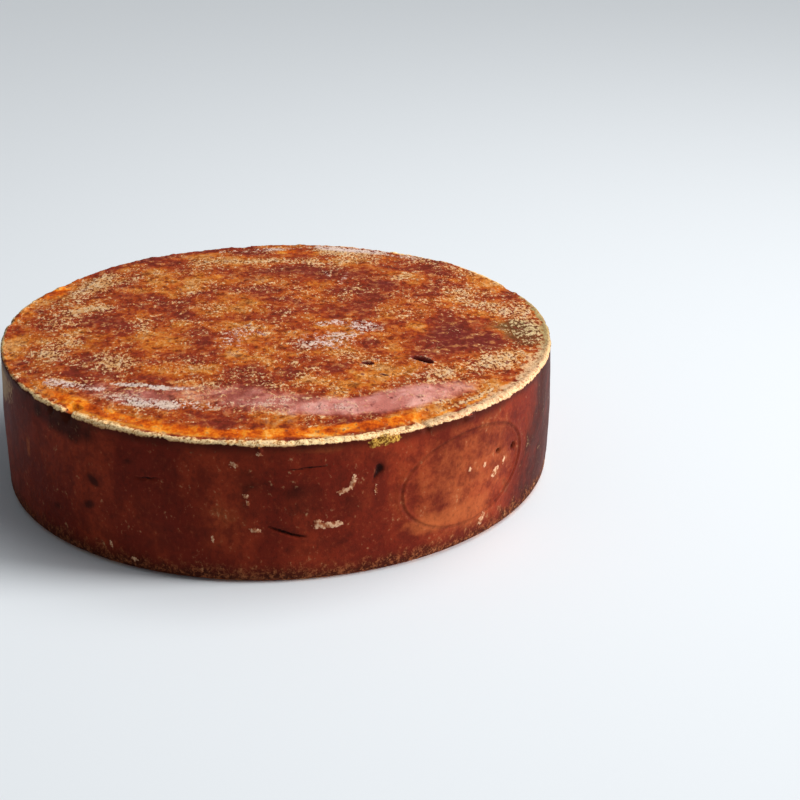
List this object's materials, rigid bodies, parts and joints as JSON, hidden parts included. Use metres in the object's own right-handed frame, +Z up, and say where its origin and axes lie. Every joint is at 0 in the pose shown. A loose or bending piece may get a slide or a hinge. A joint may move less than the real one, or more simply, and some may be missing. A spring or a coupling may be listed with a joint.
{
  "type": "cheese wheel",
  "caption": "Whole wheel of aged washed-rind cheese: a low drum with a gently domed top, crisp ragged rim and softly rounded foot, resting on its flat face.",
  "frame": {"origin": "middle of the wheel's bounding box, on the resting face", "axes": "+Z up through the wheel from the resting face to the domed face; the side with the pressed oval faces -Y, a little towards +X"},
  "size_m": [0.402, 0.4022, 0.105],
  "materials": {
    "rind": null
  },
  "bodies": {
    "root": {"cheese_wheel": "rind"}
  },
  "joints": []
}
